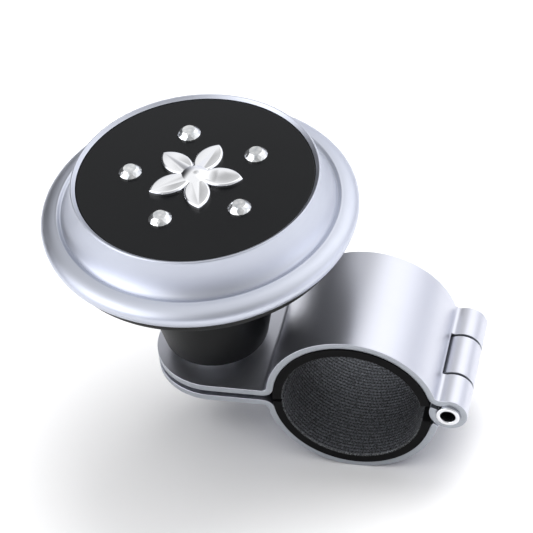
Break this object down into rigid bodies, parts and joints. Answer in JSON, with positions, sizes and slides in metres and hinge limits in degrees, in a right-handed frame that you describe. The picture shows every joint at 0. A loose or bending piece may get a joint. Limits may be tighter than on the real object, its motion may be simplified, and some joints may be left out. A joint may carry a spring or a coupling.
{
  "type": "steering wheel spinner knob",
  "caption": "Spinner knob for a steering wheel: a metal-ringed knob with a black jewelled disc turns on a hinged two-leaf clamp that closes round the rim.",
  "frame": {"origin": "centre of the round section of the rim that the closed clamp holds", "axes": "+Y along the rim and the hinge pin, +Z along the knob's axis, +X from the knob to the hinge"},
  "size_m": [0.0757, 0.056, 0.0586],
  "materials": {
    "satin_chrome": "satin chrome over stamped steel, faint brushing",
    "satin_chrome_ring": "satin chrome ring, soft sheen",
    "lining_rubber": "black moulded rubber with a fine woven texture",
    "pin_steel": "bright plated steel tube",
    "turned_steel": "turned steel, oiled",
    "bearing_steel": "ground and hardened bearing steel",
    "cage_nylon": "natural nylon",
    "plated_steel": "zinc-plated steel",
    "spring_steel": "phosphated spring steel",
    "black_moulding": "black ABS, satin moulded surface",
    "black_gloss": "black acrylic, smooth gloss",
    "polished_chrome": "polished chrome-plated casting",
    "clear_crystal": "clear faceted glass, foil-backed"
  },
  "bodies": {
    "clamp_base": {"upper_leaf": "satin_chrome", "upper_pad": "lining_rubber", "hinge_pin": "pin_steel", "spindle": "turned_steel", "lower_inner_race": "bearing_steel", "upper_inner_race": "bearing_steel", "bearing_spacer": "turned_steel", "retaining_washer": "plated_steel", "retaining_screw": "plated_steel"},
    "knob": {"knob_body": "black_moulding", "knob_shell": "satin_chrome_ring", "cap_disc": "black_gloss", "rosette": "polished_chrome", "stone_1": "clear_crystal", "stone_2": "clear_crystal", "stone_3": "clear_crystal", "stone_4": "clear_crystal", "stone_5": "clear_crystal", "lower_outer_race": "bearing_steel", "upper_outer_race": "bearing_steel", "bearing_circlip": "spring_steel"},
    "lower_ball_set": {"lower_balls": "bearing_steel", "lower_cage": "cage_nylon"},
    "upper_ball_set": {"upper_balls": "bearing_steel", "upper_cage": "cage_nylon"},
    "lower_jaw": {"lower_leaf": "satin_chrome", "lower_pad": "lining_rubber"},
    "screw_lift": {"screw_washer": "plated_steel"},
    "screw_turn": {"clamp_screw": "plated_steel"}
  },
  "joints": [
    {"name": "knob_spin", "type": "hinge", "parent": "clamp_base", "child": "knob", "pos_m": [-0.0269, 0, 0], "axis": [0, 0, 1], "continuous": true},
    {"name": "lower_ball_roll", "type": "hinge", "parent": "clamp_base", "child": "lower_ball_set", "pos_m": [-0.0269, 0, 0], "axis": [0, 0, 1], "continuous": true},
    {"name": "upper_ball_roll", "type": "hinge", "parent": "clamp_base", "child": "upper_ball_set", "pos_m": [-0.0269, 0, 0], "axis": [0, 0, 1], "continuous": true},
    {"name": "jaw_hinge", "type": "hinge", "parent": "clamp_base", "child": "lower_jaw", "pos_m": [0.0174, 0, 0], "axis": [0, -1, 0], "range_deg": [0, 100]},
    {"name": "screw_travel", "type": "slide", "parent": "lower_jaw", "child": "screw_lift", "axis": [0, 0, -1], "range_m": [0, 0.008]},
    {"name": "screw_spin", "type": "hinge", "parent": "screw_lift", "child": "screw_turn", "pos_m": [-0.0269, 0, 0], "axis": [0, 0, 1], "range_deg": [0, 2880]}
  ],
  "couplings": [
    {"joint": "lower_ball_roll", "follows": "knob_spin", "ratio": 0.5992},
    {"joint": "upper_ball_roll", "follows": "knob_spin", "ratio": 0.6323},
    {"joint": "screw_spin", "follows": "screw_travel", "rad_per_m": 6283.2}
  ]
}
